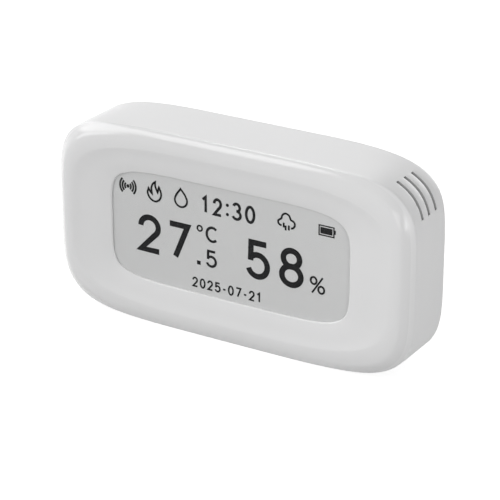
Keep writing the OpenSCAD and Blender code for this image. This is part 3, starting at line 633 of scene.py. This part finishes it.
tint = worked.nodes.new("ShaderNodeMix")
tint.data_type = "RGBA"
sheen = worked.nodes.new("ShaderNodeMath")
sheen.operation = "MULTIPLY_ADD"
sheen.inputs[1].default_value = 0.22
wire(worked, place.outputs["Object"], stretch.inputs[0])
wire(worked, gi.outputs["Line Scale"], stretch.inputs[1])
wire(worked, stretch.outputs["Vector"], lines.inputs["Vector"])
wire(worked, place.outputs["Object"], stains.inputs["Vector"])
wire(worked, stains.outputs["Fac"], tint.inputs["Factor"])
wire(worked, gi.outputs["Tone"], tint.inputs["A"])
wire(worked, gi.outputs["Stain"], tint.inputs["B"])
wire(worked, lines.outputs["Fac"], sheen.inputs[0])
wire(worked, gi.outputs["Gloss"], sheen.inputs[2])
wire(worked, tint.outputs["Result"], go.inputs["Color"])
wire(worked, sheen.outputs["Value"], go.inputs["Roughness"])
wire(worked, lines.outputs["Fac"], go.inputs["Height"])


def metal(name, tone, stain, gloss, line_scale):
    """A bare metal with its working lines."""
    values = {"Tone": (*tone, 1), "Stain": (*stain, 1), "Gloss": gloss, "Line Scale": line_scale}
    material = finished(name, worked, values, bump=0.08, relief_deep=0.1)
    material.node_tree.nodes["Principled BSDF"].inputs["Metallic"].default_value = 1.0
    return material


screw_steel = metal("screw_steel", (0.46, 0.46, 0.47), (0.34, 0.34, 0.36),
                    gloss=0.26, line_scale=(3000, 3000, 3000))
# Painted shade darkens the screws' cross recesses and tight corners.
paint_recess_shade(screw_steel, reach=0.8, shade_level=0.05)
dress(screw_steel, "carrier_screws", "board_screws")

# Ribbon and its connector: amber polyimide film with printed tracks, folded over the
# carrier's edge into an ivory plug housing on the board.
ribbon_amber = moulding("ribbon_amber", (0.55, 0.25, 0.04), (0.42, 0.17, 0.02),
                        gloss=0.3, drift_by=0.15, grain_scale=1500, bump=0.03)
ribbon_tree = ribbon_amber.node_tree
tracks = ribbon_tree.nodes.new("ShaderNodeTexWave")
tracks.bands_direction = "X"
tracks.inputs["Scale"].default_value = 320
track_place = ribbon_tree.nodes.new("ShaderNodeTexCoord")
track_mix = ribbon_tree.nodes.new("ShaderNodeMix")
track_mix.data_type = "RGBA"
track_mix.inputs["B"].default_value = (0.3, 0.11, 0.015, 1)
wire(ribbon_tree, track_place.outputs["Object"], tracks.inputs["Vector"])
wire(ribbon_tree, tracks.outputs["Fac"], track_mix.inputs["Factor"])
wire(ribbon_tree, finish_of(ribbon_amber).outputs["Color"], track_mix.inputs["A"])
wire(ribbon_tree, track_mix.outputs["Result"], ribbon_tree.nodes["Principled BSDF"].inputs["Base Color"])
connector_ivory = moulding("connector_ivory", (0.78, 0.74, 0.63), (0.7, 0.66, 0.55),
                           gloss=0.45, drift_by=0.1, grain_scale=2500, bump=0.05)
dress(ribbon_amber, "display_ribbon")
dress(connector_ivory, "ribbon_connector")


# Board and radio board: glass laminate under green solder mask, with copper tracks that
# show as paler lines; both are cut from a panel and soldered flat.
def laminate(name, mask, shade, copper, pitch):
    """Solder mask with tracks that show through it."""
    material = moulding(name, mask, shade, gloss=0.28, drift_by=0.15, grain_scale=1800, bump=0.04)
    tree = material.node_tree
    where = tree.nodes.new("ShaderNodeTexCoord")
    turn_flat = tree.nodes.new("ShaderNodeMapping")
    turn_flat.inputs["Rotation"].default_value = (math.pi / 2, 0, 0)
    track = tree.nodes.new("ShaderNodeTexBrick")
    track.inputs["Scale"].default_value = pitch
    track.inputs["Mortar Size"].default_value = 0.03
    track.offset = 0.37
    track.inputs["Color1"].default_value = (0, 0, 0, 1)
    track.inputs["Color2"].default_value = (0, 0, 0, 1)
    track.inputs["Mortar"].default_value = (1, 1, 1, 1)
    paint = tree.nodes.new("ShaderNodeMix")
    paint.data_type = "RGBA"
    paint.inputs["B"].default_value = (*copper, 1)
    wire(tree, where.outputs["Object"], turn_flat.inputs["Vector"])
    wire(tree, turn_flat.outputs["Vector"], track.inputs["Vector"])
    wire(tree, track.outputs["Color"], paint.inputs["Factor"])
    wire(tree, finish_of(material).outputs["Color"], paint.inputs["A"])
    wire(tree, paint.outputs["Result"], tree.nodes["Principled BSDF"].inputs["Base Color"])
    return material


board_green = laminate("board_green", (0.02, 0.17, 0.07), (0.014, 0.12, 0.05),
                       copper=(0.06, 0.3, 0.12), pitch=260)
radio_green = laminate("radio_green", (0.012, 0.09, 0.05), (0.01, 0.06, 0.035),
                       copper=(0.3, 0.24, 0.09), pitch=420)
dress(board_green, "main_board")
dress(radio_green, "radio_module")

# Soldered parts: a folded tin cap over the radio, epoxy packages, ceramic blocks and the
# push switch, all seated on the board's back.
shield_metal = metal("shield_metal", (0.66, 0.66, 0.64), (0.55, 0.55, 0.52),
                     gloss=0.24, line_scale=(400, 400, 6000))
chip_black = moulding("chip_black", (0.035, 0.035, 0.036), (0.02, 0.02, 0.021),
                      gloss=0.55, drift_by=0.15, grain_scale=3500, bump=0.15)
passive_tan = moulding("passive_tan", (0.46, 0.34, 0.21), (0.34, 0.25, 0.15),
                       gloss=0.5, drift_by=0.15, grain_scale=3000, bump=0.1)
dress(shield_metal, "radio_shield")
dress(chip_black, "controller_chip", "sensor_chip", "tact_switch", "switch_plunger")
dress(passive_tan, "board_passives")

# Back cover: white satin moulding with a rounded edge, the battery bay, posts for the
# board, a hanging keyhole and a round hole for the button; four screws hold it on.
SHARP_EDGE, FLAT_ENOUGH, SOLID_WELD = math.radians(40), math.radians(0.6), 2e-6


def recut(node, name, size, behind=0.0):
    """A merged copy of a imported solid, to take its place, with sharp edges softened behind a depth."""
    bm = bmesh.new()
    bm.from_mesh(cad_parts[node].data)
    bmesh.ops.remove_doubles(bm, verts=bm.verts, dist=SOLID_WELD)
    bmesh.ops.dissolve_limit(bm, angle_limit=FLAT_ENOUGH, verts=bm.verts, edges=bm.edges)
    limit = seat(0, behind, 0).y - 1e-5
    sharp = [e for e in bm.edges if len(e.link_faces) == 2 and e.calc_face_angle(0) > SHARP_EDGE
             and all(v.co.y > limit for v in e.verts)]
    soften(bm, sharp, size)
    piece = new_piece(name, bm)
    piece.modifiers.new("even_shading", "WEIGHTED_NORMAL").keep_sharp = True
    return piece


cover_white = moulding("cover_white", (0.84, 0.84, 0.84), (0.8, 0.8, 0.805),
                       gloss=0.42, drift_by=0.08, grain_scale=3500, bump=0.06)
# Painted shade darkens the cover's battery bay, door gaps and holes.
paint_recess_shade(cover_white, reach=1.8)
back_cover = recut("back_cover", "cover_moulding", size=0.12, behind=BACK_Y)
back_cover.data.materials.append(cover_white)
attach(back_cover, "case")
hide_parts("back_cover")

# Case screws: four long zinc-plated steel screws with a cross recess, sunk in the cover
# and driven into the shell's posts.
case_screws = recut("case_screws", "case_screw_set", size=0.06)
case_screws.data.materials.append(screw_steel)
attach(case_screws, "case")
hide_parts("case_screws")

# Pairing button: a small round off-white key, moulded, flush in the cover. A collar
# behind the cover keeps it in, and it rests on the push switch.
button_white = moulding("button_white", (0.78, 0.78, 0.78), (0.73, 0.73, 0.735),
                        gloss=0.4, drift_by=0.08, grain_scale=3500, bump=0.05)
# Painted shade darkens the button's own corners and collar.
paint_recess_shade(button_white, reach=0.6)
button = recut("pairing_button", "button_key", size=0.08)
button.data.materials.append(button_white)
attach(button, "button")
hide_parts("pairing_button")

# Battery door: a flush plate moulded like the cover, with a rounded upper edge, two hooks,
# grip grooves and a notch for a finger; it swings up about its upper edge.
door = recut("battery_door", "door_moulding", size=0.1)
door.data.materials.append(cover_white)
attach(door, "door")
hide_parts("battery_door")

# Cells: two steel cans in a plain film wrap, dark with a copper-coloured band at the
# positive end; the nub and the can's base stay bare.
CELL_END = 0.02455
BARE_STEEL, DARK_WRAP, COPPER_BAND = (0.5, 0.5, 0.5), (0.03, 0.032, 0.036), (0.45, 0.22, 0.09)
cell_wrap = bpy.data.materials.new("cell_wrap")
cell_wrap.use_nodes = True
cell_tree = cell_wrap.node_tree
cell_shader = cell_tree.nodes["Principled BSDF"]
cell_shader.inputs["Metallic"].default_value = 0.6
where = cell_tree.nodes.new("ShaderNodeTexCoord")
along = cell_tree.nodes.new("ShaderNodeSeparateXYZ")
reach = cell_tree.nodes.new("ShaderNodeMapRange")
reach.inputs["From Min"].default_value = -CELL_END
reach.inputs["From Max"].default_value = CELL_END
band = cell_tree.nodes.new("ShaderNodeValToRGB")
band.color_ramp.interpolation = "CONSTANT"
steps = [(0.0, BARE_STEEL), (0.06, DARK_WRAP), (0.72, COPPER_BAND), (0.96, BARE_STEEL)]
while len(band.color_ramp.elements) < len(steps):
    band.color_ramp.elements.new(0.5)
for element, (position, colour) in zip(band.color_ramp.elements, steps):
    element.position = position
    element.color = (*colour, 1)
scuff = cell_tree.nodes.new("ShaderNodeTexNoise")
scuff.inputs["Scale"].default_value = 600
scuff.inputs["Detail"].default_value = 4
scuff_range = cell_tree.nodes.new("ShaderNodeMapRange")
scuff_range.inputs["To Min"].default_value = 0.2
scuff_range.inputs["To Max"].default_value = 0.42
wire(cell_tree, where.outputs["Object"], along.inputs["Vector"])
wire(cell_tree, along.outputs["X"], reach.inputs["Value"])
wire(cell_tree, reach.outputs["Result"], band.inputs["Fac"])
wire(cell_tree, band.outputs["Color"], cell_shader.inputs["Base Color"])
wire(cell_tree, where.outputs["Object"], scuff.inputs["Vector"])
wire(cell_tree, scuff.outputs["Fac"], scuff_range.inputs["Value"])
wire(cell_tree, scuff_range.outputs["Result"], cell_shader.inputs["Roughness"])
dress(cell_wrap, "cell_upper", "cell_lower")

# Contacts and leads: nickel-plated spring steel in the bay's ends, and two insulated
# wires from their tails to the board.
contact_metal = metal("contact_metal", (0.7, 0.7, 0.67), (0.58, 0.57, 0.53),
                      gloss=0.2, line_scale=(500, 500, 5000))
lead_red = moulding("lead_red", (0.42, 0.025, 0.02), (0.32, 0.018, 0.015),
                    gloss=0.42, drift_by=0.1, grain_scale=2500, bump=0.05)
lead_black = moulding("lead_black", (0.02, 0.02, 0.02), (0.012, 0.012, 0.012),
                      gloss=0.42, drift_by=0.1, grain_scale=2500, bump=0.05)
dress(contact_metal, "contact_positive", "contact_negative", "contact_bridge", "contact_springs")
dress(lead_red, "lead_positive")
dress(lead_black, "lead_negative")


# Floor: a wide pale sheet, not part of the object, that keeps the soft shadow. It reads
# white to the camera, and in gloss and glass.
def white_to_camera(tree):
    """A value that is 1 for rays that show the background: seen, mirrored or passed through."""
    rays = tree.nodes.new("ShaderNodeLightPath")
    mirrored = tree.nodes.new("ShaderNodeMath")
    mirrored.operation = "MAXIMUM"
    through = tree.nodes.new("ShaderNodeMath")
    through.operation = "MAXIMUM"
    wire(tree, rays.outputs["Is Camera Ray"], mirrored.inputs[0])
    wire(tree, rays.outputs["Is Glossy Ray"], mirrored.inputs[1])
    wire(tree, mirrored.outputs["Value"], through.inputs[0])
    wire(tree, rays.outputs["Is Transmission Ray"], through.inputs[1])
    return through.outputs["Value"]


FLOOR_GREY, FLOOR_LIFT = 0.34, 0.86
bm = bmesh.new()
bmesh.ops.create_grid(bm, x_segments=4, y_segments=4, size=3.0)
floor = new_piece("floor", bm)
floor_pale = bpy.data.materials.new("floor_pale")
floor_pale.use_nodes = True
floor_tree = floor_pale.node_tree
floor_shader = floor_tree.nodes["Principled BSDF"]
floor_shader.inputs["Base Color"].default_value = (FLOOR_GREY, FLOOR_GREY, FLOOR_GREY, 1)
floor_shader.inputs["Roughness"].default_value = 0.9
floor_shader.inputs["Emission Color"].default_value = (1, 1, 1, 1)
lift = floor_tree.nodes.new("ShaderNodeMath")
lift.operation = "MULTIPLY"
lift.inputs[1].default_value = FLOOR_LIFT
wire(floor_tree, white_to_camera(floor_tree), lift.inputs[0])
wire(floor_tree, lift.outputs["Value"], floor_shader.inputs["Emission Strength"])
floor.data.materials.append(floor_pale)

# Room: an even soft light from all round, seen as white, with seven soft boxes: the main
# light high on the left, fills low on the left and right, and two behind.
ROOM_LEVEL = 0.185
world = bpy.data.worlds.new("studio")
bpy.context.scene.world = world
world.use_nodes = True
room_tree = world.node_tree
background = room_tree.nodes["Background"]
background.inputs["Color"].default_value = (1, 1, 1, 1)
strength = room_tree.nodes.new("ShaderNodeMapRange")
strength.inputs["To Min"].default_value = ROOM_LEVEL
wire(room_tree, white_to_camera(room_tree), strength.inputs["Value"])
wire(room_tree, strength.outputs["Result"], background.inputs["Strength"])


def softbox(name, place, aim, size, power):
    """A rectangular soft light that faces a point."""
    lamp = bpy.data.lights.new(name, "AREA")
    lamp.shape = "RECTANGLE"
    lamp.size, lamp.size_y = size
    lamp.energy = power
    holder = bpy.data.objects.new(name, lamp)
    place, aim = Vector(place), Vector(aim)
    holder.location = place
    holder.rotation_euler = (aim - place).to_track_quat("-Z", "Y").to_euler()
    bpy.context.scene.collection.objects.link(holder)


MIDDLE, RIGHT_END = (0, 0, 0.026), (0.04, 0, 0)
softbox("left_key", (-2.03, -0.74, 1.255), MIDDLE, (4.2, 1.0), 52)
softbox("left_high", (-1.12, -0.7, 2.15), MIDDLE, (1.5, 1.5), 2.5)
softbox("left_low", (-1.5, -1.28, 0.32), MIDDLE, (0.8, 0.5), 4.8)
softbox("back_left", (-0.321, 0.557, 0.792), MIDDLE, (0.45, 0.45), 2.35)
softbox("back_fill", (0.1, 0.95, 0.25), MIDDLE, (0.45, 0.4), 2.6)
softbox("right_low", (0.248, -0.429, 0.1), MIDDLE, (0.2, 0.18), 0.24)
softbox("right_fill", (0.434, -0.2, 0.09), RIGHT_END, (0.2, 0.16), 0.64)

# Camera: a long lens up and to the right of the window. Its place is given in millimetres
# from the middle of the front edge, along the view's own right, up and back.
AZIMUTH, ELEVATION = math.radians(31.47), math.radians(22.92)
IMAGE_WIDTH, FOCAL_IN_IMAGE, SENSOR = 500, 2159.91, 36
VIEW_RIGHT, VIEW_UP, VIEW_BACK, VIEW_NEARER = 5.69, -0.93, 533.35, 0.9755
right = Vector((math.cos(AZIMUTH), math.sin(AZIMUTH), 0))
level_back = Vector((math.sin(AZIMUTH), -math.cos(AZIMUTH), 0))
back = level_back * math.cos(ELEVATION) + Vector((0, 0, math.sin(ELEVATION)))
up = back.cross(right)
camera_data = bpy.data.cameras.new("camera")
camera_data.sensor_width = SENSOR
camera_data.lens = FOCAL_IN_IMAGE * SENSOR / IMAGE_WIDTH
camera = bpy.data.objects.new("camera", camera_data)
turn_to = Matrix((right, up, back)).transposed().to_4x4()
spot = (right * VIEW_RIGHT + up * VIEW_UP + back * VIEW_BACK) * VIEW_NEARER
camera.matrix_world = Matrix.Translation(spot * MM + seat(0, 0, 0)) @ turn_to
bpy.context.scene.collection.objects.link(camera)
bpy.context.scene.camera = camera
bpy.context.scene.view_settings.view_transform = "Standard"
